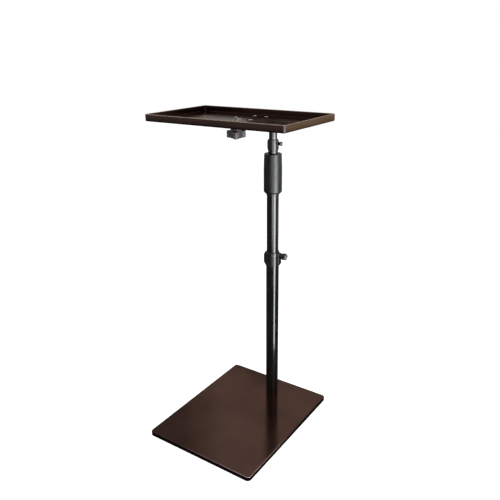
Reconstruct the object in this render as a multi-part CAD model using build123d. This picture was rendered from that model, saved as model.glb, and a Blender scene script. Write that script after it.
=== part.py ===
from build123d import *
import os

os.makedirs("parts", exist_ok=True)

# Portable projector stand. Millimetres, Z up, front towards -Y.
# The origin lies on the floor below the middle of the base plate.

# Base plate and rubber pads
base_width = 252.5
base_depth = 316.5
base_thickness = 9.0
base_corner_radius = 7.5
base_edge_round = 1.5
pad_radius = 10.0
pad_height = 1.5
pad_inset = 28.0
pad_chamfer = 0.4

# Bolt that holds the mast from beneath
bolt_radius = 4.0
bolt_head_radius = 8.0
bolt_head_height = 4.4
bolt_reach = 14.0
bolt_tip_room = 2.0
bolt_socket_flats = 5.0
bolt_socket_depth = 2.6

# Mast tubes
mast_from_back = 31.25
tube_radius = 14.0
tube_wall = 1.2
foot_cover = 8.0
lower_tube_length = 340.2
spigot_length = 60.0
stop_height = 3.0
upper_tube_length = 197.2
inner_tube_wall = 1.2
inner_tube_length = 440.0
bush_wall = 1.2
bush_height = 18.0
bush_flange = 2.0
stub_wall = 1.5
stub_length = 108.6
stub_inserted = 62.0

# Coupling collar and its thumb screw
collar_height = 32.1
collar_wall = 0.95
collar_lip = 2.0
collar_edge = 0.6
wing_reach = 4.75
wing_width = 13.7
wing_foot_rise = 7.3
wing_head_fall = 8.6
boss_step = 2.1
wing_round = 1.2
coupling_screw_radius = 3.0
coupling_screw_below_top = 6.9
coupling_head_radius = 7.2
coupling_head_length = 15.1

# Form of the thumb screw heads
head_flare = 1.2
head_neck_length = 4.0
head_flare_length = 3.2
head_end_chamfer = 0.7
flute_count = 10
flute_radius = 1.1
flute_depth = 0.7

# Twist lock
grip_length = 82.2
grip_rubber = 2.55
grip_taper = 1.0
grip_taper_length = 31.0
grip_chamfer = 2.2
grip_chamfer_height = 2.7
grip_top_edge = 0.6
grip_rim = 0.8
nut_wall = 1.2
nut_top = 6.0
nut_lip = 3.0
nut_inset = 0.6
collet_wall = 2.4
collet_jaw = 10.0
ferrule_wall = 1.0
ferrule_height = 4.8
ferrule_edge = 0.5

# Top collar and its thumb screw
slide_gap = 5.5
top_collar_height = 23.3
top_collar_wall = 0.85
top_collar_lip = 2.0
top_collar_edge = 0.4
top_wing_reach = 2.15
top_wing_width = 6.6
top_wing_foot_rise = 7.2
top_wing_head_fall = 4.5
top_boss_step = 2.0
top_wing_round = 0.6
top_screw_radius = 1.8
top_screw_below_top = 7.7
top_head_radius = 4.7
top_head_length = 7.2

# Tray and its arm
tray_width = 302.0
tray_depth = 181.0
tray_height = 13.3
tray_sheet = 1.5
tray_inside_corner = 1.5
tray_inside_bend = 0.9
tray_centre_y = 8.0
hem_height = 6.3
hem_flat = 0.4
arm_width = 42.0
arm_thickness = 5.0
arm_past_knob = 32.0
arm_corner_radius = 8.0

# Star knob and projector screw
knob_from_tray_centre = -10.4
stud_radius = 3.175
stud_above_floor = 7.5
stud_in_knob = 9.0
stud_groove = 0.6
stud_chamfer = 0.6
keeper_radius = 6.0
keeper_height = 1.0
washer_radius = 9.0
washer_height = 1.4
knob_hub_radius = 10.7
knob_hub_draft = 1.4
knob_hub_height = 9.6
knob_height = 13.0
knob_core_radius = 10.7
knob_reach = 19.7
knob_lobe_radius = 5.2
knob_lobes = 3
knob_lobe_angle = -56.0
knob_web_round = 4.5
knob_round = 1.4
rib_groove_radius = 0.75
rib_groove_depth = 0.45
rib_grooves = 5
rib_groove_spread = 35.0

# Clearances
press_clearance = 0.05
running_clearance = 0.06
sliding_clearance = 0.3
turning_gap = 0.3
head_gap = 0.6
cut_past = 1.0

# Radii that follow from the tubes
tube_bore = tube_radius - tube_wall
upper_radius = tube_bore - press_clearance
upper_bore = upper_radius - tube_wall
bush_radius = upper_bore - sliding_clearance
inner_tube_radius = bush_radius - bush_wall - press_clearance
inner_tube_bore = inner_tube_radius - inner_tube_wall
stub_radius = inner_tube_bore - sliding_clearance
collet_bore = upper_radius + press_clearance
collet_radius = collet_bore + collet_wall
ferrule_radius = collet_bore + ferrule_wall
nut_bore = collet_radius + sliding_clearance
nut_radius = nut_bore + nut_wall
nut_lip_bore = ferrule_radius + sliding_clearance
grip_bore = nut_radius + press_clearance
grip_radius = grip_bore + grip_rubber

# Levels and places, from the floor up
plate_bottom = pad_height
plate_top = plate_bottom + base_thickness
mast_y = base_depth / 2 - mast_from_back
foot_top = plate_top + bolt_reach + bolt_tip_room + foot_cover
lower_top = plate_top + lower_tube_length
collar_top = lower_top + collar_lip
collar_bottom = collar_top - collar_height
coupling_screw_z = collar_top - coupling_screw_below_top
upper_bottom = collar_top - spigot_length
upper_top = collar_top + upper_tube_length
collet_top = upper_top + collet_jaw
nut_inside_top = collet_top + turning_gap
nut_outside_top = nut_inside_top + nut_top
grip_top = nut_outside_top + grip_rim
grip_bottom = grip_top - grip_length
nut_bottom = grip_bottom + nut_inset
top_collar_bottom = grip_top + slide_gap
top_collar_top = top_collar_bottom + top_collar_height
inner_top = top_collar_top - top_collar_lip
inner_bottom = inner_top - inner_tube_length
top_screw_z = top_collar_top - top_screw_below_top
stub_bottom = inner_top - stub_inserted
arm_bottom = stub_bottom + stub_length
arm_top = arm_bottom + arm_thickness
tray_floor = arm_top + tray_sheet
knob_y = tray_centre_y + knob_from_tray_centre
washer_top = arm_bottom - turning_gap
washer_bottom = washer_top - washer_height
hub_bottom = washer_bottom - knob_hub_height
knob_bottom = hub_bottom - knob_height


def disc(radius, bottom, top, y=mast_y):
    """Upright cylinder between two levels."""
    return Pos(0, y, bottom) * extrude(Circle(radius), top - bottom)


def turned(points, y=mast_y):
    """Solid turned about an upright axis from (radius, level) points."""
    outline = Polyline(*[(radius, 0, level) for radius, level in points], close=True)
    return Pos(0, y, 0) * revolve(make_face(outline), Axis.Z)


def cross_bar(radius, start, end, level):
    """Cylinder along +X, measured from the mast axis."""
    place = Pos(start, mast_y, level) * Rot(0, 90, 0)
    return place * extrude(Circle(radius), end - start)


def clamp_collar(sleeve, wings, bore, lip_bore, lip):
    """Thin moulded sleeve with a sloping wing on each side; the +X wing is the screw boss.

    sleeve is (bottom, top, radius, edge) and wings is
    (reach, width, foot rise, head fall, boss step, round).
    """
    bottom, top, radius, edge = sleeve
    reach, width, foot_rise, head_fall, boss_step_down, round_over = wings
    solid = extrude(Circle(radius), top - bottom)
    solid = chamfer(solid.edges().filter_by(GeomType.CIRCLE), edge)
    height = top - bottom
    outline = Polyline(
        (-bore, 0),
        (-reach, foot_rise),
        (-reach, height - head_fall),
        (-bore, height - edge),
        (bore, height - boss_step_down),
        (reach, height - boss_step_down),
        (reach, foot_rise),
        (bore, 0),
        close=True,
    )
    block = extrude(Plane.XZ * make_face(outline), width / 2, both=True)
    ends = block.faces().sort_by(Axis.X)
    block = fillet(ends[0].edges() + ends[-1].edges(), round_over)
    solid = Pos(0, mast_y, bottom) * (solid + block)
    solid -= disc(bore, bottom - cut_past, top - lip)
    solid -= disc(lip_bore, bottom, top + cut_past)
    return solid


def thumb_head(radius, length):
    """Fluted screw head along +Z that widens towards its free end."""
    neck = radius - head_flare
    outline = Polyline(
        (0, 0, 0),
        (neck, 0, 0),
        (neck, 0, head_neck_length),
        (radius, 0, head_neck_length + head_flare_length),
        (radius, 0, length - head_end_chamfer),
        (radius - head_end_chamfer, 0, length),
        (0, 0, length),
        close=True,
    )
    head = revolve(make_face(outline), Axis.Z)
    cutter = Pos(0, 0, head_neck_length) * extrude(Circle(flute_radius), length)
    places = PolarLocations(radius + flute_radius - flute_depth, flute_count)
    return head - [place * cutter for place in places]


# Base plate, with the bolt hole countersunk from beneath
base_plate = extrude(RectangleRounded(base_width, base_depth, base_corner_radius), base_thickness)
base_plate = Pos(0, 0, plate_bottom) * base_plate
base_plate = fillet(base_plate.edges().group_by(Axis.Z)[-1], base_edge_round)
bolt_hole = bolt_radius + press_clearance
base_plate -= turned([
    (0, plate_bottom),
    (bolt_head_radius + press_clearance, plate_bottom),
    (bolt_hole, plate_bottom + bolt_head_height),
    (bolt_hole, plate_top),
    (0, plate_top),
])
export_step(base_plate, "parts/base_plate.step")

# Four rubber pads, one below each corner
pad = extrude(Circle(pad_radius), pad_height)
pad = chamfer(pad.edges().group_by(Axis.Z)[0], pad_chamfer)
pad_x = base_width / 2 - pad_inset
pad_y = base_depth / 2 - pad_inset
for depth_name, y in (("front", -pad_y), ("back", pad_y)):
    for side_name, x in (("left", -pad_x), ("right", pad_x)):
        export_step(Pos(x, y, 0) * pad, f"parts/foot_pad_{depth_name}_{side_name}.step")

# Countersunk bolt with a hexagon socket
base_bolt = turned([
    (0, plate_bottom),
    (bolt_head_radius, plate_bottom),
    (bolt_radius, plate_bottom + bolt_head_height),
    (bolt_radius, plate_top + bolt_reach),
    (0, plate_top + bolt_reach),
])
socket = extrude(RegularPolygon(bolt_socket_flats / 2, 6, major_radius=False), bolt_socket_depth)
base_bolt -= Pos(0, mast_y, plate_bottom) * socket
export_step(base_bolt, "parts/base_bolt.step")

# Lower tube with its solid foot, a rolled stop for the upper tube and the thumb screw's way in
lower_tube = disc(tube_radius, plate_top, lower_top)
lower_tube -= disc(tube_bore, foot_top, upper_bottom - stop_height)
lower_tube -= disc(upper_bore, foot_top, upper_bottom)
lower_tube -= disc(tube_bore, upper_bottom, lower_top)
lower_tube -= disc(bolt_hole, plate_top, plate_top + bolt_reach + bolt_tip_room)
screw_way = coupling_screw_radius + sliding_clearance
lower_tube -= cross_bar(screw_way, 0, tube_radius + cut_past, coupling_screw_z)
export_step(lower_tube, "parts/lower_tube.step")

# Coupling collar, whose lip sits on the lower tube's end
collar_bore = tube_radius + press_clearance
boss_face = tube_radius + wing_reach
coupling_collar = clamp_collar(
    (collar_bottom, collar_top, collar_bore + collar_wall, collar_edge),
    (boss_face, wing_width, wing_foot_rise, wing_head_fall, boss_step, wing_round),
    collar_bore,
    upper_radius + press_clearance,
    collar_lip,
)
screw_hole = coupling_screw_radius + running_clearance
coupling_collar -= cross_bar(screw_hole, 0, boss_face + cut_past, coupling_screw_z)
export_step(coupling_collar, "parts/coupling_collar.step")

# Thumb screw of the coupling: steel shank, moulded head
head_start = boss_face + head_gap
shank_start = upper_radius + press_clearance
shank_end = head_start + coupling_head_length / 2
coupling_shank = cross_bar(coupling_screw_radius, shank_start, shank_end, coupling_screw_z)
export_step(coupling_shank, "parts/coupling_screw_shank.step")
coupling_head = thumb_head(coupling_head_radius, coupling_head_length)
coupling_head = Pos(head_start, mast_y, coupling_screw_z) * Rot(0, 90, 0) * coupling_head
coupling_head -= cross_bar(coupling_screw_radius, head_start, shank_end, coupling_screw_z)
export_step(coupling_head, "parts/coupling_screw_head.step")

# Upper tube, which stands in the lower one on the rolled stop
upper_tube = disc(upper_radius, upper_bottom, upper_top)
upper_tube -= disc(upper_bore, upper_bottom, upper_top)
export_step(upper_tube, "parts/upper_tube.step")

# Collet of the twist lock, pressed over the upper tube's end
jaw_bore = inner_tube_radius + running_clearance
ferrule_bottom = grip_bottom - ferrule_height
shoulder = nut_bottom + nut_lip + turning_gap
clutch_collet = turned([
    (collet_bore, ferrule_bottom),
    (ferrule_radius - ferrule_edge, ferrule_bottom),
    (ferrule_radius, ferrule_bottom + ferrule_edge),
    (ferrule_radius, shoulder),
    (collet_radius, shoulder),
    (collet_radius, collet_top),
    (jaw_bore, collet_top),
    (jaw_bore, upper_top),
    (collet_bore, upper_top),
])
export_step(clutch_collet, "parts/clutch_collet.step")

# Nut of the twist lock, which turns on the collet and closes around the inner tube
clutch_nut = turned([
    (nut_lip_bore, nut_bottom),
    (nut_radius, nut_bottom),
    (nut_radius, nut_outside_top),
    (inner_tube_radius + sliding_clearance, nut_outside_top),
    (inner_tube_radius + sliding_clearance, nut_inside_top),
    (nut_bore, nut_inside_top),
    (nut_bore, nut_bottom + nut_lip),
    (nut_lip_bore, nut_bottom + nut_lip),
])
export_step(clutch_nut, "parts/clutch_nut.step")

# Rubber grip over the nut, a little slimmer towards its top
clutch_grip = turned([
    (grip_bore, grip_bottom),
    (grip_radius - grip_chamfer, grip_bottom),
    (grip_radius, grip_bottom + grip_chamfer_height),
    (grip_radius, grip_top - grip_taper_length),
    (grip_radius - grip_taper, grip_top - grip_top_edge),
    (grip_radius - grip_taper - grip_top_edge, grip_top),
    (grip_bore, grip_top),
])
export_step(clutch_grip, "parts/clutch_grip.step")

# Inner tube that slides in the mast
inner_tube = disc(inner_tube_radius, inner_bottom, inner_top)
inner_tube -= disc(inner_tube_bore, inner_bottom, inner_top)
top_screw_way = top_screw_radius + sliding_clearance
inner_tube -= cross_bar(top_screw_way, 0, inner_tube_radius + cut_past, top_screw_z)
export_step(inner_tube, "parts/inner_tube.step")

# Guide bush on the inner tube's lower end, with a flange below it
guide_bush = turned([
    (inner_tube_bore, inner_bottom - bush_flange),
    (bush_radius, inner_bottom - bush_flange),
    (bush_radius, inner_bottom + bush_height),
    (bush_radius - bush_wall, inner_bottom + bush_height),
    (bush_radius - bush_wall, inner_bottom),
    (inner_tube_bore, inner_bottom),
])
export_step(guide_bush, "parts/guide_bush.step")

# Top collar, whose lip sits on the inner tube's end
top_collar_bore = inner_tube_radius + press_clearance
top_boss_face = inner_tube_radius + top_wing_reach
top_collar = clamp_collar(
    (top_collar_bottom, top_collar_top, top_collar_bore + top_collar_wall, top_collar_edge),
    (
        top_boss_face, top_wing_width, top_wing_foot_rise, top_wing_head_fall,
        top_boss_step, top_wing_round,
    ),
    top_collar_bore,
    inner_tube_bore,
    top_collar_lip,
)
top_screw_hole = top_screw_radius + running_clearance
top_collar -= cross_bar(top_screw_hole, 0, top_boss_face + cut_past, top_screw_z)
export_step(top_collar, "parts/top_collar.step")

# Thumb screw of the top collar
top_head_start = top_boss_face + head_gap
top_shank_end = top_head_start + top_head_length / 2
top_shank_start = stub_radius + sliding_clearance
top_shank = cross_bar(top_screw_radius, top_shank_start, top_shank_end, top_screw_z)
export_step(top_shank, "parts/top_screw_shank.step")
top_head = thumb_head(top_head_radius, top_head_length)
top_head = Pos(top_head_start, mast_y, top_screw_z) * Rot(0, 90, 0) * top_head
top_head -= cross_bar(top_screw_radius, top_head_start, top_shank_end, top_screw_z)
export_step(top_head, "parts/top_screw_head.step")

# Stub tube below the tray's arm
stub_tube = disc(stub_radius, stub_bottom, arm_bottom)
stub_tube -= disc(stub_radius - stub_wall, stub_bottom, arm_bottom)
export_step(stub_tube, "parts/stub_tube.step")

# Flat steel arm that carries the tray in front of the mast
stud_way = stud_radius + sliding_clearance
arm_front = knob_y - arm_past_knob
arm_blank = Pos(0, (mast_y + arm_front) / 2) * Rectangle(arm_width, mast_y - arm_front)
arm_blank = fillet(arm_blank.vertices().group_by(Axis.Y)[0], arm_corner_radius)
arm_blank += Pos(0, mast_y) * Circle(arm_width / 2)
arm_blank -= Pos(0, knob_y) * Circle(stud_way)
tray_arm = Pos(0, 0, arm_bottom) * extrude(arm_blank, arm_thickness)
export_step(tray_arm, "parts/tray_arm.step")

# Tray: a pan of sheet steel whose rim is folded back inside
wall_corner = tray_inside_corner + tray_sheet
inside_width = tray_width - 2 * tray_sheet
inside_depth = tray_depth - 2 * tray_sheet
pan = RectangleRounded(tray_width, tray_depth, wall_corner + tray_sheet)
pan = extrude(pan, tray_height)
pan = fillet(pan.edges().group_by(Axis.Z)[0], tray_inside_bend + tray_sheet)
hollow = RectangleRounded(inside_width, inside_depth, wall_corner)
hollow = Pos(0, 0, tray_sheet) * extrude(hollow, tray_height)
hollow = fillet(hollow.edges().group_by(Axis.Z)[0], tray_inside_bend)
hem = RectangleRounded(inside_width, inside_depth, wall_corner)
hem_width = inside_width - 2 * tray_sheet
hem_depth = inside_depth - 2 * tray_sheet
hem -= RectangleRounded(hem_width, hem_depth, tray_inside_corner)
tray = pan - hollow + Pos(0, 0, tray_height - hem_height) * extrude(hem, hem_height)
tray = fillet(tray.edges().group_by(Axis.Z)[-1], tray_sheet - hem_flat / 2)
tray = Pos(0, tray_centre_y, arm_top) * tray
tray -= disc(stud_way, arm_top - cut_past, tray_floor + cut_past, y=knob_y)
export_step(tray, "parts/tray.step")

# Projector screw, its washer below the arm and its keeper on the tray floor
stud_bottom = hub_bottom - stud_in_knob
stud_top = tray_floor + stud_above_floor
keeper_bottom = tray_floor + turning_gap
keeper_top = keeper_bottom + keeper_height
groove_radius = stud_radius - stud_groove
stud = turned([
    (0, stud_bottom),
    (stud_radius, stud_bottom),
    (stud_radius, keeper_bottom),
    (groove_radius, keeper_bottom),
    (groove_radius, keeper_top),
    (stud_radius, keeper_top),
    (stud_radius, stud_top - stud_chamfer),
    (stud_radius - stud_chamfer, stud_top),
    (0, stud_top),
], y=knob_y)
export_step(stud, "parts/projector_stud.step")
washer = disc(washer_radius, washer_bottom, washer_top, y=knob_y)
washer -= disc(stud_radius, washer_bottom, washer_top, y=knob_y)
export_step(washer, "parts/knob_washer.step")
keeper = disc(keeper_radius, keeper_bottom, keeper_top, y=knob_y)
keeper -= disc(groove_radius, keeper_bottom, keeper_top, y=knob_y)
export_step(keeper, "parts/stud_keeper.step")

# Star knob: ribbed lobes around a core, with a tapered hub up to the washer
lobe_centre = knob_reach - knob_lobe_radius
star = Circle(knob_core_radius)
arm = Pos(lobe_centre / 2, 0) * Rectangle(lobe_centre, 2 * knob_lobe_radius)
arm += Pos(lobe_centre, 0) * Circle(knob_lobe_radius)
lobe_turns = [Rot(0, 0, knob_lobe_angle + 360 / knob_lobes * i) for i in range(knob_lobes)]
for turn in lobe_turns:
    star += turn * arm
webs = star.vertices().filter_by(lambda v: v.distance_to(Vertex(0, 0, 0)) < lobe_centre)
star = fillet(webs, knob_web_round)
star_knob = extrude(star, knob_height)
star_knob = fillet(star_knob.edges().group_by(Axis.Z)[0], knob_round)
star_knob = fillet(star_knob.edges().group_by(Axis.Z)[-1], knob_round)
groove = Pos(knob_lobe_radius + rib_groove_radius - rib_groove_depth, 0) * Circle(rib_groove_radius)
groove = extrude(groove, knob_height)
for turn in lobe_turns:
    for i in range(rib_grooves):
        spread = (i - (rib_grooves - 1) / 2) * rib_groove_spread
        star_knob -= turn * Pos(lobe_centre, 0) * Rot(0, 0, spread) * groove
star_knob = Pos(0, knob_y, knob_bottom) * star_knob
star_knob += turned([
    (0, hub_bottom - knob_round),
    (knob_hub_radius, hub_bottom - knob_round),
    (knob_hub_radius, hub_bottom),
    (knob_hub_radius - knob_hub_draft, washer_bottom),
    (0, washer_bottom),
], y=knob_y)
star_knob -= disc(stud_radius, stud_bottom, washer_bottom + cut_past, y=knob_y)
export_step(star_knob, "parts/star_knob.step")
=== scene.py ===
import math

import bpy
from mathutils import Matrix, Vector


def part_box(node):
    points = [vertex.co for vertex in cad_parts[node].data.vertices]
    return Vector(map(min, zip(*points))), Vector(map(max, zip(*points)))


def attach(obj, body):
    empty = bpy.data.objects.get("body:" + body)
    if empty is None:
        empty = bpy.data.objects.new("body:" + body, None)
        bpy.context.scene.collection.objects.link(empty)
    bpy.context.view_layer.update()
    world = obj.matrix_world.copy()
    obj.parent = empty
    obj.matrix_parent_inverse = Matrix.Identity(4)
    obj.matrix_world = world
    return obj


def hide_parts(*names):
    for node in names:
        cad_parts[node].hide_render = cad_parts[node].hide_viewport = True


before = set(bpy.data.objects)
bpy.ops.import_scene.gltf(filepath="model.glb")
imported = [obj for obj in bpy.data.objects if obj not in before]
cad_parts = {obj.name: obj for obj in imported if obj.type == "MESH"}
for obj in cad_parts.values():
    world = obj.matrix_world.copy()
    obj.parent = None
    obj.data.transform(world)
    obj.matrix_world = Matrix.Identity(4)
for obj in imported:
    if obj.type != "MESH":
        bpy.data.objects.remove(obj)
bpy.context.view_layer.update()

# Base plate
# A heavy flat steel plate with rounded corners, sprayed with a metallic coffee-brown lacquer.
# Its top edge is rounded off, and along it the lacquer is thin and rubbed bright, with a painted highlight
# near the front right corner and painted shade further round; its sides carry painted shade.
mm = 0.001


def linear(colour):
    """sRGB hex colour as linear RGBA."""
    values = [int(colour[i:i + 2], 16) / 255 for i in (1, 3, 5)]
    return [v / 12.92 if v < 0.04045 else ((v + 0.055) / 1.055) ** 2.4 for v in values] + [1.0]


def plug(material, node, sockets):
    """Gives each named input of a node a value, an output, or another node's first output."""
    for name, value in sockets.items():
        if isinstance(value, bpy.types.Node):
            value = value.outputs[0]
        if isinstance(value, bpy.types.NodeSocket):
            material.node_tree.links.new(value, node.inputs[name])
        else:
            node.inputs[name].default_value = value


def add_node(material, kind, sockets=None, stops=(), **settings):
    """Adds a node with its settings, any colour stops, and what its inputs get."""
    node = material.node_tree.nodes.new("ShaderNode" + kind)
    for name, value in settings.items():
        setattr(node, name, value)
    for number, (position, colour) in enumerate(stops):
        stop = node.color_ramp.elements[number]
        stop.position, stop.color = position, linear(colour)
    plug(material, node, sockets or {})
    return node


def finish_of(name, **constants):
    """A new material with constants on its shader; returns it, the shader and object coordinates."""
    material = bpy.data.materials.new(name)
    material.use_nodes = True
    shader = material.node_tree.nodes["Principled BSDF"]
    plug(material, shader, {socket.replace("_", " "): value for socket, value in constants.items()})
    place = add_node(material, "TexCoord").outputs["Object"]
    return material, shader, place


def dress(material, *nodes):
    """Gives CAD nodes their finish."""
    for name in nodes:
        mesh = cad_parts[name].data
        mesh.materials.clear()
        mesh.materials.append(material)


# Lacquer with metal flake is mirror-like at a low angle and brown all through, with a fine orange peel.
# Painted shade darkens it in the folded corners, and below, where it is also dull because only overspray
# lands.
# Flakes are about 0.1 mm and are drawn at 0.7 mm so that they show.
def coffee_lacquer(name, piece_box, corner, rim_rub_and_highlight, rim_depth, rim_highlight_reach, dark_sides, streaks, top_light):
    """Brown lacquer for a flat piece whose corners have a radius.

    The rim is rubbed bright in patches, in part wear and in part a painted highlight, as strongly as its
    rub argument says, down to rim_depth and as far from the front right corner as its reach argument
    says; further round it takes painted shade. The sides below it get painted shade, streaks, and painted
    light that makes them lighter towards the top, from the last three.
    """
    deep_brown, pale_brown = "#38241e", "#513a32"
    shadow_brown = linear("#1d1512")
    rubbed_rim_highlight = linear("#a08d84")
    corner_shade_grey = linear("#231e1e")
    underside_shade_brown = linear("#2b1d18")
    cloud_size = 110 * mm
    smear_size = 38 * mm
    rub_size = 9 * mm
    peel_size = 1.8 * mm
    flake_size = 0.7 * mm
    streaks_per_metre = (14.0, 14.0, 1 / (2.6 * mm))
    side_reach, side_full = 1.7 * mm, 0.5 * mm
    shade_start, shade_full = 1.0 * mm, 1.7 * mm
    below_start, below_full = 0.2 * mm, 0.1 * mm
    low, high = piece_box
    middle, half = (low + high) / 2, (high - low) / 2
    material, shader, place = finish_of(name, Metallic=0.94, Specular_Tint=linear("#c8bbb2"),
                                        Coat_Weight=0.1, Coat_Roughness=0.12)
    level = add_node(material, "SeparateXYZ", {0: place}).outputs["Z"]

    # Brown, uneven in clouds, flakes and streaks, and graded up the sides by painted light, lighter towards
    # the top.
    cloud = add_node(material, "TexNoise", {"Vector": place, "Scale": 1 / cloud_size, "Detail": 3.0})
    flake = add_node(material, "TexNoise", {"Vector": place, "Scale": 1 / flake_size, "Detail": 1.0})
    drawn = add_node(material, "Mapping", {"Vector": place, "Scale": streaks_per_metre})
    streak = add_node(material, "TexNoise", {"Vector": drawn, "Scale": 1.0, "Detail": 4.0})
    shade = add_node(material, "Math", {0: cloud, 1: 0.5}, operation="MULTIPLY")
    shade = add_node(material, "Math", {0: flake, 1: 0.14, 2: shade}, operation="MULTIPLY_ADD")
    shade = add_node(material, "Math", {0: streak, 1: streaks, 2: shade}, operation="MULTIPLY_ADD")
    upward_light = add_node(material, "MapRange", {"Value": level, "From Min": low.z, "From Max": high.z,
                                             "To Min": -top_light, "To Max": top_light})
    shade = add_node(material, "Math", {0: shade, 1: upward_light})
    usual = 0.32 + streaks / 2
    brown = add_node(material, "ValToRGB", {"Fac": shade},
                     stops=((usual - 0.2, deep_brown), (usual + 0.2, pale_brown))).outputs[0]

    # Seen from above, how far a point lies outside the straight middle: the corner radius on the outline.
    straight = (half.x - corner, half.y - corner, 1.0)
    out = add_node(material, "VectorMath", {0: place, 1: middle}, operation="SUBTRACT")
    out = add_node(material, "VectorMath", {0: out}, operation="ABSOLUTE")
    out = add_node(material, "VectorMath", {0: out, 1: straight}, operation="SUBTRACT")
    out = add_node(material, "VectorMath", {0: out, 1: (0, 0, 0)}, operation="MAXIMUM")
    across = add_node(material, "SeparateXYZ", {0: out})
    # Painted shade darkens the rounded corners.
    corner_shade = add_node(material, "Math", {0: across.outputs["X"], 1: across.outputs["Y"]}, operation="MINIMUM")
    corner_shade = add_node(material, "MapRange", {"Value": corner_shade, "From Max": 0.3 * corner, "To Max": 0.93})
    out = add_node(material, "VectorMath", {0: out}, operation="LENGTH").outputs["Value"]
    side = add_node(material, "MapRange", {"Value": out, "From Min": corner - side_reach,
                                           "From Max": corner - side_full})

    # Painted shade on the sides and in the folded corners, the rim rubbed in patches with a painted
    # highlight that gives way to painted shade away from the front right corner, and painted shade on the
    # dull overspray below.
    # Painted shade darkens the sides below the rim.
    under = add_node(material, "MapRange", {"Value": level, "From Min": high.z - shade_start,
                                            "From Max": high.z - shade_full, "To Max": dark_sides})
    under = add_node(material, "Math", {0: under, 1: side}, operation="MULTIPLY")
    brown = add_node(material, "Mix", {0: under, 6: brown, 7: shadow_brown}, data_type="RGBA").outputs[2]
    brown = add_node(material, "Mix", {0: corner_shade, 6: brown, 7: corner_shade_grey}, data_type="RGBA").outputs[2]
    top = add_node(material, "MapRange", {"Value": level, "From Min": high.z - rim_depth,
                                          "From Max": high.z - 0.5 * rim_depth})
    patch = add_node(material, "TexNoise", {"Vector": place, "Scale": 1 / rub_size, "Detail": 5.0})
    patch = add_node(material, "MapRange", {"Value": patch, "From Min": 0.2, "From Max": 0.55,
                                            "To Max": rim_rub_and_highlight})
    edge = add_node(material, "Math", {0: side, 1: top}, operation="MULTIPLY")
    edge = add_node(material, "Math", {0: edge, 1: patch}, operation="MULTIPLY")
    # A painted highlight on the rim near the front right corner, turning to painted shade further away.
    lit_front_right = (high.x, low.y, high.z)
    far = add_node(material, "VectorMath", {0: place, 1: lit_front_right}, operation="DISTANCE").outputs["Value"]
    far = add_node(material, "MapRange", {"Value": far, "From Min": 0.25 * rim_highlight_reach, "From Max": rim_highlight_reach})
    rim = add_node(material, "Mix", {0: far, 6: rubbed_rim_highlight, 7: shadow_brown}, data_type="RGBA").outputs[2]
    coat = add_node(material, "Mix", {0: edge, 6: brown, 7: rim}, data_type="RGBA").outputs[2]
    # Painted shade darkens the underside, which is also dull where only overspray lands.
    below_shade_and_dull = add_node(material, "MapRange", {"Value": level, "From Min": low.z + below_start,
                                          "From Max": low.z + below_full})
    coat = add_node(material, "Mix", {0: below_shade_and_dull, 6: coat, 7: underside_shade_brown}, data_type="RGBA").outputs[2]

    # Gloss smeared by wiping, and orange peel.
    smear = add_node(material, "TexNoise", {"Vector": place, "Scale": 1 / smear_size, "Detail": 4.0})
    gloss = add_node(material, "MapRange", {"Value": smear, "From Min": 0.3, "From Max": 0.7,
                                            "To Min": 0.11, "To Max": 0.19})
    gloss = add_node(material, "Math", {0: below_shade_and_dull, 1: 0.45, 2: gloss}, operation="MULTIPLY_ADD")
    peel = add_node(material, "TexNoise", {"Vector": place, "Scale": 1 / peel_size, "Detail": 2.0})
    relief = add_node(material, "Bump", {"Height": peel, "Strength": 0.08, "Distance": 0.04 * mm})
    plug(material, shader, {"Base Color": coat, "Roughness": gloss, "Normal": relief})
    return material


base_lacquer = coffee_lacquer("metallic_lacquer_base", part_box("base_plate"), corner=7.5 * mm, rim_rub_and_highlight=0.8,
                              rim_depth=1.6 * mm, rim_highlight_reach=180 * mm, dark_sides=0.9, streaks=0.05, top_light=0.0)
dress(base_lacquer, "base_plate")

# Rubber pads
# Four thin discs of black rubber, moulded and glued below the corners of the plate.
# Moulded rubber is matt, with dust in its gritty skin; grit of about 0.3 mm is drawn at 0.9 mm to show.
clean_pad, dusty_pad = "#141414", "#2a2826"
dust_patch, pad_grit = 6 * mm, 0.9 * mm
rubber_pad, shader, place = finish_of("moulded_rubber_pad", Specular_IOR_Level=0.35)
dust = add_node(rubber_pad, "TexNoise", {"Vector": place, "Scale": 1 / dust_patch, "Detail": 5.0})
tone = add_node(rubber_pad, "ValToRGB", {"Fac": dust}, stops=((0.35, clean_pad), (0.75, dusty_pad)))
matt = add_node(rubber_pad, "MapRange", {"Value": dust, "To Min": 0.6, "To Max": 0.9})
grit = add_node(rubber_pad, "TexVoronoi", {"Vector": place, "Scale": 1 / pad_grit})
relief = add_node(rubber_pad, "Bump", {"Height": grit, "Strength": 0.3, "Distance": 0.1 * mm})
plug(rubber_pad, shader, {"Base Color": tone, "Roughness": matt, "Normal": relief})
dress(rubber_pad, "foot_pad_front_left", "foot_pad_front_right", "foot_pad_back_left", "foot_pad_back_right")

# Base bolt
# A countersunk hexagon-socket bolt of zinc-plated steel, screwed up into the foot of the mast.
# Zinc plate is a pale grey metal with cloudy passivation and fine turning marks.
# The marks are about 0.1 mm and are drawn at 0.5 mm so that they show.
zinc_grey, zinc_pale = "#8f9092", "#bdbbb4"
cloud_size, turning_marks = 4 * mm, 0.5 * mm
zinc, shader, place = finish_of("zinc_plated_steel", Metallic=1.0)
cloud = add_node(zinc, "TexNoise", {"Vector": place, "Scale": 1 / cloud_size, "Detail": 3.0})
tone = add_node(zinc, "ValToRGB", {"Fac": cloud}, stops=((0.3, zinc_grey), (0.75, zinc_pale)))
fine = add_node(zinc, "TexNoise", {"Vector": place, "Scale": 1 / turning_marks, "Detail": 2.0})
gloss = add_node(zinc, "MapRange", {"Value": fine, "To Min": 0.22, "To Max": 0.42})
relief = add_node(zinc, "Bump", {"Height": fine, "Strength": 0.15, "Distance": 0.03 * mm})
plug(zinc, shader, {"Base Color": tone, "Roughness": gloss, "Normal": relief})
dress(zinc, "base_bolt")


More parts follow.
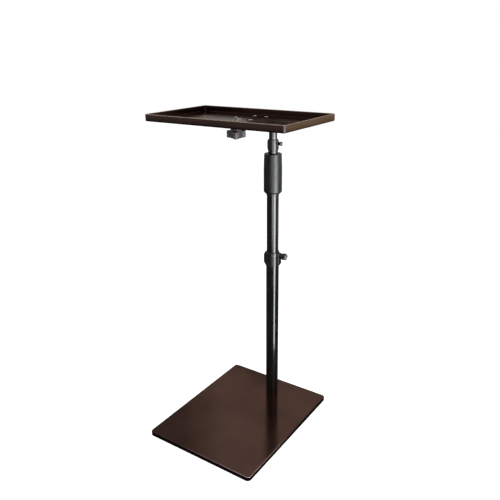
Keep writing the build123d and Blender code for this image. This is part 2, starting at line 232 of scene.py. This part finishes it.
# Mast tubes
# Two welded steel tubes in gloss black enamel: the lower one stands on the plate, the upper one in it.
# Enamel shows faint lines along the drawn tube, a little orange peel, and dull handling marks.
# The lines are about 0.2 mm wide and are drawn at 1.1 mm so that they show.
def black_enamel(name, scuffs):
    """Gloss black enamel; scuffs is how strongly the lines of a sliding fit show."""
    black, scuffed = linear("#0c0d0e"), linear("#4a4c4e")
    hand_mark = 26 * mm
    peel_size = 2.2 * mm
    line_width = 1.1 * mm
    lines_per_metre = (1 / line_width, 1 / line_width, 9.0)
    material, shader, place = finish_of(name, Specular_IOR_Level=0.5, IOR=1.5)
    along = add_node(material, "Mapping", {"Vector": place, "Scale": lines_per_metre})
    lines = add_node(material, "TexNoise", {"Vector": along, "Scale": 1.0, "Detail": 4.0})
    hands = add_node(material, "TexNoise", {"Vector": place, "Scale": 1 / hand_mark, "Detail": 5.0})
    mark = add_node(material, "MapRange", {"Value": lines, "From Min": 0.56, "From Max": 0.72,
                                           "To Max": scuffs})
    mark = add_node(material, "Math", {0: mark, 1: hands}, operation="MULTIPLY")
    tone = add_node(material, "Mix", {0: mark, 6: black, 7: scuffed}, data_type="RGBA").outputs[2]
    gloss = add_node(material, "MapRange", {"Value": hands, "From Min": 0.3, "From Max": 0.75,
                                            "To Min": 0.13, "To Max": 0.24})
    peel = add_node(material, "TexNoise", {"Vector": place, "Scale": 1 / peel_size, "Detail": 2.0})
    height = add_node(material, "Math", {0: lines, 1: 0.5, 2: peel}, operation="MULTIPLY_ADD")
    relief = add_node(material, "Bump", {"Height": height, "Strength": 0.06, "Distance": 0.04 * mm})
    plug(material, shader, {"Base Color": tone, "Roughness": gloss, "Normal": relief})
    return material


mast_enamel = black_enamel("gloss_black_enamel", scuffs=0.25)
dress(mast_enamel, "lower_tube", "upper_tube")

# Coupling collar
# A collar injection-moulded in black nylon with a wing on each side, pressed over the lower tube's end.
# Moulded nylon is satin, with the spark-eroded grain of its tool.
# That grain is about 0.05 mm and is drawn at 0.5 mm so that it shows.
nylon_black, nylon_worn = "#121212", "#1f1e1d"
cloud_size, tool_grain = 7 * mm, 0.5 * mm
nylon, shader, place = finish_of("moulded_black_nylon", Specular_IOR_Level=0.45)
cloud = add_node(nylon, "TexNoise", {"Vector": place, "Scale": 1 / cloud_size, "Detail": 4.0})
tone = add_node(nylon, "ValToRGB", {"Fac": cloud}, stops=((0.35, nylon_black), (0.75, nylon_worn)))
gloss = add_node(nylon, "MapRange", {"Value": cloud, "From Min": 0.3, "From Max": 0.7,
                                     "To Min": 0.22, "To Max": 0.32})
grain = add_node(nylon, "TexVoronoi", {"Vector": place, "Scale": 1 / tool_grain})
relief = add_node(nylon, "Bump", {"Height": grain, "Strength": 0.12, "Distance": 0.05 * mm})
plug(nylon, shader, {"Base Color": tone, "Roughness": gloss, "Normal": relief})
dress(nylon, "coupling_collar")

# Coupling thumb screw
# The shank is rolled steel thread, and the fluted nylon head is moulded around it.
# A pale polypropylene cap is snapped into the end of the head.
dress(nylon, "coupling_screw_head")


def alone(piece):
    """Leaves only this piece selected and active, in object mode."""
    if bpy.context.mode != "OBJECT":
        bpy.ops.object.mode_set(mode="OBJECT")
    bpy.ops.object.select_all(action="DESELECT")
    piece.select_set(True)
    bpy.context.view_layer.objects.active = piece


def pick(piece, test):
    """Goes to edit mode with those faces selected whose centre and normal pass the test."""
    alone(piece)
    for part in (piece.data.vertices, piece.data.edges, piece.data.polygons):
        for item in part:
            item.select = False
    for face in piece.data.polygons:
        face.select = bool(test(face.center, face.normal))
    bpy.ops.object.mode_set(mode="EDIT")
    bpy.ops.mesh.select_mode(type="FACE")


def apply_all(piece):
    """Applies every modifier of a piece."""
    alone(piece)
    for modifier in list(piece.modifiers):
        bpy.ops.object.modifier_apply(modifier=modifier.name)


def settle(piece, move):
    """Puts a piece modelled at the origin in its place and leaves that place in its mesh."""
    alone(piece)
    piece.matrix_world = move
    bpy.ops.object.transform_apply(location=True, rotation=True, scale=True)


def rolled_thread(name, radius, pitch, length):
    """A threaded rod along +Z from the origin, with stepped ends and one helical ridge."""
    depth = 0.6 * pitch
    core = radius - depth
    end_ring = 0.25 * core
    ridge_out = 0.05 * depth
    ridge_flat = 0.62
    bare_turns = 1.8
    bpy.ops.object.select_all(action="DESELECT")
    bpy.ops.mesh.primitive_cylinder_add(vertices=40, radius=core, depth=length, location=(0, 0, length / 2))
    rod = bpy.context.object
    bpy.ops.object.transform_apply(location=True)
    pick(rod, lambda centre, normal: abs(normal.z) > 0.9)
    bpy.ops.mesh.inset(thickness=end_ring)
    bpy.ops.mesh.inset(thickness=end_ring)
    bpy.ops.object.mode_set(mode="OBJECT")
    bpy.ops.object.select_all(action="DESELECT")
    bpy.ops.mesh.primitive_circle_add(vertices=4, radius=depth, fill_type="NOTHING")
    ridge = bpy.context.object
    upright = Matrix.Rotation(math.radians(90), 4, "X") @ Matrix.Diagonal((1, ridge_flat, 1, 1))
    settle(ridge, Matrix.Translation((core + ridge_out, 0, bare_turns / 2 * pitch)) @ upright)
    turn = ridge.modifiers.new("helix", "SCREW")
    turn.axis = "Z"
    turn.screw_offset = pitch
    turn.iterations = int(length / pitch - bare_turns)
    turn.steps = turn.render_steps = 32
    turn.use_merge_vertices = False
    apply_all(ridge)
    bpy.ops.object.mode_set(mode="EDIT")
    bpy.ops.mesh.select_all(action="SELECT")
    bpy.ops.mesh.fill_holes(sides=4)
    bpy.ops.mesh.normals_make_consistent(inside=False)
    bpy.ops.object.mode_set(mode="OBJECT")
    rod.select_set(True)
    bpy.context.view_layer.objects.active = rod
    bpy.ops.object.join()
    rod.name = rod.data.name = name
    bpy.ops.object.shade_smooth_by_angle(angle=math.radians(35))
    rod.data.materials.append(zinc)
    return rod


along_x = Matrix.Rotation(math.radians(90), 4, "Y")
low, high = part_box("coupling_screw_shank")
middle = (low + high) / 2
thread_radius, thread_pitch = 3.0 * mm, 1.0 * mm
coupling_thread = rolled_thread("coupling_screw_thread", thread_radius, thread_pitch, high.x - low.x)
settle(coupling_thread, Matrix.Translation((low.x, middle.y, middle.z)) @ along_x)
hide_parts("coupling_screw_shank")
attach(coupling_thread, "coupling_screw")

# Polypropylene is pale grey and slightly waxy, with a faint moulded grain.
# That grain is about 0.05 mm and is drawn at 0.4 mm so that it shows.
cap_grey, cap_pale = "#7c7d7c", "#999a97"
cloud_size, cap_grain = 3 * mm, 0.4 * mm
cap_plastic, shader, place = finish_of("pale_polypropylene", Specular_IOR_Level=0.4)
cloud = add_node(cap_plastic, "TexNoise", {"Vector": place, "Scale": 1 / cloud_size, "Detail": 3.0})
tone = add_node(cap_plastic, "ValToRGB", {"Fac": cloud}, stops=((0.3, cap_grey), (0.75, cap_pale)))
gloss = add_node(cap_plastic, "MapRange", {"Value": cloud, "To Min": 0.38, "To Max": 0.55})
grain = add_node(cap_plastic, "TexNoise", {"Vector": place, "Scale": 1 / cap_grain, "Detail": 1.0})
relief = add_node(cap_plastic, "Bump", {"Height": grain, "Strength": 0.1, "Distance": 0.03 * mm})
plug(cap_plastic, shader, {"Base Color": tone, "Roughness": gloss, "Normal": relief})


def soften(piece, width, degrees):
    """Rounds the edges of a piece that are sharper than an angle."""
    soft = piece.modifiers.new("soft edges", "BEVEL")
    soft.width = width
    soft.segments = 2
    soft.angle_limit = math.radians(degrees)
    apply_all(piece)


def snap_cap(name, radius, height):
    """A round cap on +Z at the origin: rim, ring groove and shallow dome."""
    rim = 0.16 * radius
    wall = 0.03 * radius
    groove, groove_depth = 0.1 * radius, 0.3 * height
    dome_steps = ((0.25 * radius, 0.12 * height), (0.2 * radius, 0.05 * height))
    bpy.ops.object.select_all(action="DESELECT")
    bpy.ops.mesh.primitive_cylinder_add(vertices=48, radius=radius, depth=height, location=(0, 0, 0))
    cap = bpy.context.object
    pick(cap, lambda centre, normal: normal.z > 0.9)
    bpy.ops.mesh.inset(thickness=rim)
    bpy.ops.mesh.inset(thickness=wall, depth=-groove_depth)
    bpy.ops.mesh.inset(thickness=groove)
    bpy.ops.mesh.inset(thickness=wall, depth=groove_depth)
    for step, rise in dome_steps:
        bpy.ops.mesh.inset(thickness=step, depth=rise)
    bpy.ops.object.mode_set(mode="OBJECT")
    soften(cap, 0.05 * radius, 40)
    bpy.ops.object.shade_smooth_by_angle(angle=math.radians(35))
    cap.name = cap.data.name = name
    cap.data.materials.append(cap_plastic)
    return cap


low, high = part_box("coupling_screw_head")
middle = (low + high) / 2
cap_radius, cap_height = 5.6 * mm, 0.8 * mm
cap_proud = 0.35
cap_centre = high.x + (cap_proud - 0.5) * cap_height
coupling_cap = snap_cap("coupling_screw_cap", cap_radius, cap_height)
settle(coupling_cap, Matrix.Translation((cap_centre, middle.y, middle.z)) @ along_x)
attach(coupling_cap, "coupling_screw")

# Twist lock
# A nylon collet on the upper tube, a nylon nut that closes it, and a sleeve of black rubber stretched
# over the nut as a grip.
# Rubber is matt, finely textured, greyed where hands hold it, and smooth on its moulded top lip.
dress(nylon, "clutch_collet", "clutch_nut")
rubber_black, rubber_held = "#090909", "#131313"
hand_mark, grip_texture = 22 * mm, 0.8 * mm
lip_start, lip_full = 0.7 * mm, 0.3 * mm
grip_rubber, shader, place = finish_of("moulded_black_rubber", Specular_IOR_Level=0.36)
hands = add_node(grip_rubber, "TexNoise", {"Vector": place, "Scale": 1 / hand_mark, "Detail": 5.0})
tone = add_node(grip_rubber, "ValToRGB", {"Fac": hands}, stops=((0.35, rubber_black), (0.75, rubber_held)))
gloss = add_node(grip_rubber, "MapRange", {"Value": hands, "From Min": 0.3, "From Max": 0.7,
                                           "To Min": 0.32, "To Max": 0.42})
low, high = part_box("clutch_grip")
level = add_node(grip_rubber, "SeparateXYZ", {0: place}).outputs["Z"]
lip = add_node(grip_rubber, "MapRange", {"Value": level, "From Min": high.z - lip_start,
                                         "From Max": high.z - lip_full, "To Max": -0.25})
gloss = add_node(grip_rubber, "Math", {0: gloss, 1: lip})
weave = add_node(grip_rubber, "TexVoronoi", {"Vector": place, "Scale": 1 / grip_texture})
relief = add_node(grip_rubber, "Bump", {"Height": weave, "Strength": 0.15, "Distance": 0.06 * mm})
plug(grip_rubber, shader, {"Base Color": tone, "Roughness": gloss, "Normal": relief})
dress(grip_rubber, "clutch_grip")

# Sliding tube
# A slimmer steel tube in the same enamel, with a nylon bush on its lower end that guides it in the mast.
# Sliding leaves faint lines along the enamel.
sliding_enamel = black_enamel("gloss_black_enamel_slid", scuffs=0.6)
dress(sliding_enamel, "inner_tube")
dress(nylon, "guide_bush")

# Top collar and thumb screw
# Small copies of the coupling's collar and screw, moulded and rolled in the same way.
# The collar is pressed over the sliding tube's end, and its screw holds the tray where it is turned.
dress(nylon, "top_collar", "top_screw_head")
low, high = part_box("top_screw_shank")
middle = (low + high) / 2
thread_radius, thread_pitch = 1.8 * mm, 0.7 * mm
top_thread = rolled_thread("top_screw_thread", thread_radius, thread_pitch, high.x - low.x)
settle(top_thread, Matrix.Translation((low.x, middle.y, middle.z)) @ along_x)
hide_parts("top_screw_shank")
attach(top_thread, "top_screw")
low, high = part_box("top_screw_head")
middle = (low + high) / 2
cap_radius, cap_height = 3.6 * mm, 0.6 * mm
cap_centre = high.x + (cap_proud - 0.5) * cap_height
top_cap = snap_cap("top_screw_cap", cap_radius, cap_height)
settle(top_cap, Matrix.Translation((cap_centre, middle.y, middle.z)) @ along_x)
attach(top_cap, "top_screw")

# Stub tube and tray arm
# A short enamelled tube that turns in the sliding tube, and a flat steel bar welded on top of it.
# The bar is in satin black powder coat, which has a soft orange peel of about 2 mm and no flake.
dress(sliding_enamel, "stub_tube")
powder_black, powder_worn = "#131313", "#20201f"
cloud_size, peel_size = 30 * mm, 2.0 * mm
powder, shader, place = finish_of("satin_black_powder_coat", Specular_IOR_Level=0.2)
cloud = add_node(powder, "TexNoise", {"Vector": place, "Scale": 1 / cloud_size, "Detail": 4.0})
tone = add_node(powder, "ValToRGB", {"Fac": cloud}, stops=((0.35, powder_black), (0.75, powder_worn)))
gloss = add_node(powder, "MapRange", {"Value": cloud, "To Min": 0.62, "To Max": 0.78})
peel = add_node(powder, "TexNoise", {"Vector": place, "Scale": 1 / peel_size, "Detail": 2.0})
relief = add_node(powder, "Bump", {"Height": peel, "Strength": 0.25, "Distance": 0.08 * mm})
plug(powder, shader, {"Base Color": tone, "Roughness": gloss, "Normal": relief})
dress(powder, "tray_arm")

# Weld bead
# The stub tube is welded to the arm all round, in overlapping ripples of weld metal.
# The bead is coated over with the arm.
low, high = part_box("stub_tube")
arm_low, arm_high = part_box("tray_arm")
mast_x, mast_y = (low.x + high.x) / 2, (low.y + high.y) / 2
stub_radius = (high.x - low.x) / 2
ripples = 36
bead = 1.7 * mm
bead_out = 0.25 * bead
bead_below = 0.2 * bead
ripple_height = 0.18 * bead
bpy.ops.object.select_all(action="DESELECT")
bpy.ops.mesh.primitive_torus_add(major_radius=stub_radius + bead_out, minor_radius=bead,
                                 major_segments=2 * ripples, minor_segments=14,
                                 location=(mast_x, mast_y, arm_low.z - bead_below))
weld = bpy.context.object
bpy.ops.object.transform_apply(location=True)


def on_ripple(centre, normal):
    """True for every other step of the bead round the tube."""
    turned = math.atan2(centre.y - mast_y, centre.x - mast_x)
    return int(turned * ripples / math.pi + 4 * ripples) % 2


pick(weld, on_ripple)
bpy.ops.transform.shrink_fatten(value=ripple_height)
bpy.ops.object.mode_set(mode="OBJECT")
round_off = weld.modifiers.new("ripple", "SUBSURF")
round_off.levels = round_off.render_levels = 1
apply_all(weld)
bpy.ops.object.shade_smooth()
weld.name = weld.data.name = "stub_weld_bead"
weld.data.materials.append(powder)
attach(weld, "tray_unit")

# Tray
# A shallow pan pressed from sheet steel, its rim folded back inside.
# It is lacquered like the base, with painted shade in its corners and below and a painted highlight along
# its rim, and its upright sides show streaks from the spray gun and painted light that makes them lighter
# towards the top.
tray_low, tray_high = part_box("tray")
tray_lacquer = coffee_lacquer("metallic_lacquer_tray", (tray_low, tray_high), corner=4.5 * mm, rim_rub_and_highlight=1.0,
                              rim_depth=1.0 * mm, rim_highlight_reach=4000 * mm, dark_sides=0.0, streaks=0.4, top_light=0.3)
dress(tray_lacquer, "tray")

# Tray screws
# Four flat-headed cross-recess screws of zinc-plated steel hold the tray down on the arm.
# They go through both, and their tips show below; each was driven home at another angle.
tray_sheet = 1.5 * mm
head_radius, head_height = 4.2 * mm, 0.6 * mm
head_proud = 0.25 * mm
head_rounding = 0.12 * mm
recess_length, recess_width = 4.6 * mm, 0.9 * mm
screw_radius = 2.0 * mm
tip_below, tip_chamfer = 1.2 * mm, 0.4 * mm
half_spacing = 13 * mm
near_row, far_row = 26 * mm, 80 * mm
first_angle, angle_between = 17, 31
head_top = tray_low.z + tray_sheet + head_proud
bpy.ops.object.select_all(action="DESELECT")
bpy.ops.mesh.primitive_cylinder_add(vertices=40, radius=head_radius, depth=head_height,
                                    location=(0, 0, head_top - head_height / 2))
flat_screw = bpy.context.object
bpy.ops.object.transform_apply(location=True)
pick(flat_screw, lambda centre, normal: normal.z < -0.9)
bpy.ops.mesh.inset(thickness=head_radius - screw_radius)
shank = arm_low.z - tip_below - (head_top - head_height)
bpy.ops.mesh.extrude_region_move(TRANSFORM_OT_translate={"value": (0, 0, shank)})
bpy.ops.mesh.inset(thickness=tip_chamfer, depth=tip_chamfer)
bpy.ops.object.mode_set(mode="OBJECT")
soften(flat_screw, head_rounding, 50)
for turn in (0, 90):
    bpy.ops.object.select_all(action="DESELECT")
    bpy.ops.mesh.primitive_cube_add(size=1, location=(0, 0, 0))
    blade = bpy.context.object
    blade.scale = (recess_length, recess_width, recess_width)
    blade.rotation_euler.z = math.radians(turn)
    bpy.ops.object.transform_apply(location=False, rotation=True, scale=True)
    settle(blade, Matrix.Translation((0, 0, head_top)))
    cut = flat_screw.modifiers.new("recess", "BOOLEAN")
    cut.operation = "DIFFERENCE"
    cut.object = blade
    cut.solver = "EXACT"
    apply_all(flat_screw)
    bpy.data.objects.remove(blade)
alone(flat_screw)
bpy.ops.object.shade_smooth_by_angle(angle=math.radians(30))
flat_screw.data.materials.append(zinc)
arm_middle = (arm_low.x + arm_high.x) / 2
places = [(arm_middle + side * half_spacing, row) for row in (near_row, far_row) for side in (-1, 1)]
for number, (x, y) in enumerate(places):
    screw = flat_screw.copy()
    screw.data = flat_screw.data.copy()
    bpy.context.scene.collection.objects.link(screw)
    screw.name = screw.data.name = f"tray_screw_{number + 1}"
    driven = Matrix.Rotation(math.radians(first_angle + angle_between * number), 4, "Z")
    settle(screw, Matrix.Translation((x, y, 0)) @ driven)
    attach(screw, "tray_unit")
bpy.data.objects.remove(flat_screw)

# Quarter-inch screw
# A steel stud with a camera thread, cut from threaded rod and fixed in the star knob.
# A washer and a keeper ring, zinc plated like it, hold it in the arm.
dress(zinc, "knob_washer", "stud_keeper")
low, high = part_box("projector_stud")
stud_middle = (low + high) / 2
thread_radius, thread_pitch = 3.175 * mm, 1.27 * mm
stud_thread = rolled_thread("projector_stud_thread", thread_radius, thread_pitch, high.z - low.z)
settle(stud_thread, Matrix.Translation((stud_middle.x, stud_middle.y, low.z)))
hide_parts("projector_stud")
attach(stud_thread, "knob")

# Star knob
# A three-lobed knob moulded in dark grey nylon with glass fibre, its lobes ribbed for the fingers.
# The fibre gives a faint speckle, and the ribs round the lobes are paled, in part rubbed and in part a
# painted highlight.
# Speckle and tool grain are below 0.3 mm and are drawn at 1.2 and 0.6 mm so that they show.
knob_grey, knob_speck = "#40353c", "#5c5057"
rubbed_rib_highlight = linear("#746c72")
speck_size, tool_grain = 1.2 * mm, 0.6 * mm
lobe_radius, lobe_centre = 5.2 * mm, 14.5 * mm
lobe_angles = (-56, 64, 184)
rub_start, rub_full = 0.3 * mm, 0.1 * mm
rub_end = 0.4 * mm
knob_nylon, shader, place = finish_of("glass_filled_nylon", Specular_IOR_Level=0.3)
speck = add_node(knob_nylon, "TexNoise", {"Vector": place, "Scale": 1 / speck_size, "Detail": 4.0})
tone = add_node(knob_nylon, "ValToRGB", {"Fac": speck}, stops=((0.3, knob_grey), (0.75, knob_speck)))
flat = add_node(knob_nylon, "VectorMath", {0: place, 1: (1, 1, 0)}, operation="MULTIPLY")
nearest = 1.0
for degrees in lobe_angles:
    lobe = (stud_middle.x + lobe_centre * math.cos(math.radians(degrees)),
            stud_middle.y + lobe_centre * math.sin(math.radians(degrees)), 0)
    off = add_node(knob_nylon, "VectorMath", {0: flat, 1: lobe}, operation="DISTANCE").outputs["Value"]
    nearest = add_node(knob_nylon, "Math", {0: off, 1: nearest}, operation="MINIMUM")
# The ribs round the lobes are paled, in part rubbed and in part a painted highlight.
inside = add_node(knob_nylon, "MapRange", {"Value": nearest, "From Min": lobe_radius - rub_start,
                                           "From Max": lobe_radius - rub_full})
outside = add_node(knob_nylon, "MapRange", {"Value": nearest, "From Min": lobe_radius + rub_full,
                                            "From Max": lobe_radius + rub_end, "To Min": 1.0, "To Max": 0.0})
on_rib = add_node(knob_nylon, "Math", {0: inside, 1: outside}, operation="MULTIPLY")
tone = add_node(knob_nylon, "Mix", {0: on_rib, 6: tone, 7: rubbed_rib_highlight}, data_type="RGBA").outputs[2]
gloss = add_node(knob_nylon, "MapRange", {"Value": speck, "To Min": 0.35, "To Max": 0.5})
grain = add_node(knob_nylon, "TexVoronoi", {"Vector": place, "Scale": 1 / tool_grain})
relief = add_node(knob_nylon, "Bump", {"Height": grain, "Strength": 0.15, "Distance": 0.05 * mm})
plug(knob_nylon, shader, {"Base Color": tone, "Roughness": gloss, "Normal": relief})
dress(knob_nylon, "star_knob")

# Knob cap
# A larger cap in the same polypropylene, snapped into the knob's underside.
# It hides the end of the screw.
low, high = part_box("star_knob")
cap_radius, cap_height = 6.0 * mm, 0.9 * mm
cap_centre = low.z - (cap_proud - 0.5) * cap_height
upside_down = Matrix.Rotation(math.radians(180), 4, "X")
knob_cap = snap_cap("star_knob_cap", cap_radius, cap_height)
settle(knob_cap, Matrix.Translation((stud_middle.x, stud_middle.y, cap_centre)) @ upside_down)
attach(knob_cap, "knob")

# Studio floor
# Seamless pale paper, white to the camera and in reflections, which keeps a soft contact shadow.
# It is seen from above only, so that the underside of the stand can be looked at.
floor_size, floor_drop = 8.0, 0.5 * mm
floor_glow = 0.8
bpy.ops.object.select_all(action="DESELECT")
bpy.ops.mesh.primitive_plane_add(size=floor_size, location=(0, 0, -floor_drop))
floor = bpy.context.object
floor.name = "studio_floor"


def seen_plain(material):
    """1 on rays that see the plain background: from the camera, off gloss and through glass."""
    ray = add_node(material, "LightPath").outputs
    seen = add_node(material, "Math", {0: ray["Is Camera Ray"], 1: ray["Is Glossy Ray"]},
                    operation="MAXIMUM")
    return add_node(material, "Math", {0: seen, 1: ray["Is Transmission Ray"]}, operation="MAXIMUM")


# Uncoated paper has no gloss at all, and is a shade below white where light falls on it.
pale, shader = finish_of("pale_paper", Base_Color=linear("#e6e6e6"), Roughness=0.9,
                         Specular_IOR_Level=0.0, Emission_Color=(1, 1, 1, 1))[:2]
glow = add_node(pale, "Math", {0: seen_plain(pale), 1: floor_glow}, operation="MULTIPLY")
plug(pale, shader, {"Emission Strength": glow})
from_below = add_node(pale, "NewGeometry").outputs["Backfacing"]
clear = add_node(pale, "BsdfTransparent")
one_sided = add_node(pale, "MixShader", {0: from_below, 1: shader, 2: clear})
plug(pale, pale.node_tree.nodes["Material Output"], {"Surface": one_sided})
floor.data.materials.append(pale)

# Studio light
# A white surround, a tall soft box to the right of the camera and another overhead in front.
# All are soft and at a plain level, so that colours render about as they are written.
fill_level, plain_level = 0.4, 1.0
aim_height = 0.4
world = bpy.data.worlds.new("white_surround")
bpy.context.scene.world = world
world.use_nodes = True
strength = add_node(world, "MapRange", {"Value": seen_plain(world), "To Min": fill_level,
                                        "To Max": plain_level})
plug(world, world.node_tree.nodes["Background"], {"Color": (1, 1, 1, 1), "Strength": strength})


def soft_box(name, bearing, distance, height, width, tall, power):
    """An area lamp that faces the mast; its bearing from there is in degrees from +X."""
    lamp = bpy.data.lights.new(name, "AREA")
    lamp.shape = "RECTANGLE"
    lamp.size, lamp.size_y = width, tall
    lamp.energy = power
    holder = bpy.data.objects.new(name, lamp)
    bpy.context.scene.collection.objects.link(holder)
    angle = math.radians(bearing)
    target = Vector((0, mast_y, aim_height))
    holder.location = Vector((distance * math.cos(angle), mast_y + distance * math.sin(angle), height))
    holder.rotation_euler = (holder.location - target).to_track_quat("Z", "Y").to_euler()


soft_box("key_soft_box", bearing=-26, distance=1.7, height=0.9, width=0.5, tall=1.5, power=12)
soft_box("overhead_soft_box", bearing=-75, distance=1.2, height=2.0, width=1.2, tall=0.8, power=12)


# Reflection cards
# Sheets of card round the stand that only reflections see, set up as for any picture of gloss black.
# Dark ones keep the mast black, and bright and dim strips on its right draw the lines of light along it.
# They are plain card that gives off its own light, so lamps neither shade nor tint them.
def card(name, bearing, near, far, near_width, far_width, lift, rise, colour, glow):
    """A card from near to far along a bearing from the mast, lifted, and bent up at its far end."""
    bpy.ops.object.select_all(action="DESELECT")
    bpy.ops.mesh.primitive_plane_add(size=1.0, location=(0, 0, 0))
    sheet = bpy.context.object
    sheet.name = name
    halfway = (near + far) / 2
    settle(sheet, Matrix.Translation((halfway, 0, 0)) @ Matrix.Diagonal((far - near, near_width, 1, 1)))
    pick(sheet, lambda centre, normal: False)
    bpy.ops.mesh.select_mode(type="VERT")
    bpy.ops.object.mode_set(mode="OBJECT")
    for vertex in sheet.data.vertices:
        vertex.select = vertex.co.x > halfway
    bpy.ops.object.mode_set(mode="EDIT")
    bpy.ops.transform.resize(value=(1, far_width / near_width, 1))
    if rise:
        bpy.ops.mesh.extrude_region_move(TRANSFORM_OT_translate={"value": (0, 0, rise)})
    bpy.ops.object.mode_set(mode="OBJECT")
    paper = finish_of(name + "_paper", Base_Color=(0, 0, 0, 1), Specular_IOR_Level=0.0,
                      Emission_Color=linear(colour), Emission_Strength=glow)[0]
    sheet.data.materials.append(paper)
    sheet.visible_camera = sheet.visible_diffuse = False
    sheet.visible_shadow = sheet.visible_transmission = False
    turned = Matrix.Rotation(math.radians(bearing), 4, "Z")
    sheet.matrix_world = Matrix.Translation((0, mast_y, lift)) @ turned


# Each has its bearing, near and far end, near and far width, lift, rise, colour and glow.
card("dark_card", 0, -2.2, 2.2, 4.4, 4.4, 0.001, 0.0, "#ffffff", 0.11)
card("dark_wall_low", -130, 1.5, 1.6, 3.6, 3.6, 0.002, 0.36, "#ffffff", 0.1)
card("dark_wall_high", -130, 1.59, 1.6, 3.6, 3.6, 0.362, 0.54, "#e6f1ff", 0.45)
card("dark_wall_left", 166, 1.5, 1.51, 1.3, 1.3, 0.002, 0.5, "#ffffff", 0.05)
card("left_end", -166, 1.40, 1.41, 0.5, 0.5, 0.42, 0.22, "#ffffff", 1.4)
card("near_strip", -20, 0.22, 0.6, 0.085, 0.23, 0.003, 0.0, "#f7fdff", 14.5)
card("bright_strip", -20, 0.6, 1.3, 0.24, 0.92, 0.003, 0.34, "#f7fdff", 14.5)
card("strip_top", -20, 1.29, 1.3, 0.92, 0.92, 0.343, 0.18, "#f7fdff", 19.0)
card("dim_strip", -60, 1.02, 1.31, 0.42, 0.62, 0.002, 0.52, "#f4f9ff", 5.2)
card("upper_dim", -79, 1.30, 1.31, 0.36, 0.36, 0.36, 0.16, "#f4f9ff", 5.0)
card("side_strip", 12, 1.30, 1.32, 0.62, 0.62, 0.32, 0.14, "#f0f8ff", 4.0)
card("side_card", 52, 0.95, 1.5, 1.8, 2.4, 0.002, 0.30, "#fff6e8", 0.55)
card("tray_card", 56, 1.40, 1.42, 1.6, 1.6, 0.38, 0.26, "#efffec", 1.6)
card("backdrop", 122, 1.6, 1.62, 1.9, 1.9, 0.002, 0.90, "#ffffff", 0.35)
card("behind_mast", 122, 1.57, 1.58, 0.24, 0.24, 0.3, 0.7, "#ffffff", 0.02)
card("left_inner", 136, 1.6, 1.62, 0.14, 0.14, 0.9, 0.9, "#ffffff", 0.75)
card("left_outer", 144, 1.6, 1.62, 0.36, 0.36, 0.9, 0.9, "#ffffff", 0.42)

# Camera
# It stands where the photograph was taken from, a little above the tray and turned to its right corner.
# It is tilted down and has no lens shift; its place, turn and lens were solved from the edges seen.
camera_place = (0.60544, -0.8530, 0.78106)
yaw, pitch, roll = 0.59614, 0.35377, -0.00989
focal_pixels, picture_pixels = 562.03, 500
camera_data = bpy.data.cameras.new("camera")
camera = bpy.data.objects.new("camera", camera_data)
bpy.context.scene.collection.objects.link(camera)
camera_data.sensor_width = 36.0
camera_data.lens = focal_pixels / picture_pixels * camera_data.sensor_width
camera.matrix_world = (Matrix.Translation(camera_place) @ Matrix.Rotation(yaw, 4, "Z")
                       @ Matrix.Rotation(math.pi / 2 - pitch, 4, "X") @ Matrix.Rotation(roll, 4, "Z"))
bpy.context.scene.camera = camera
bpy.context.scene.view_settings.view_transform = "Standard"
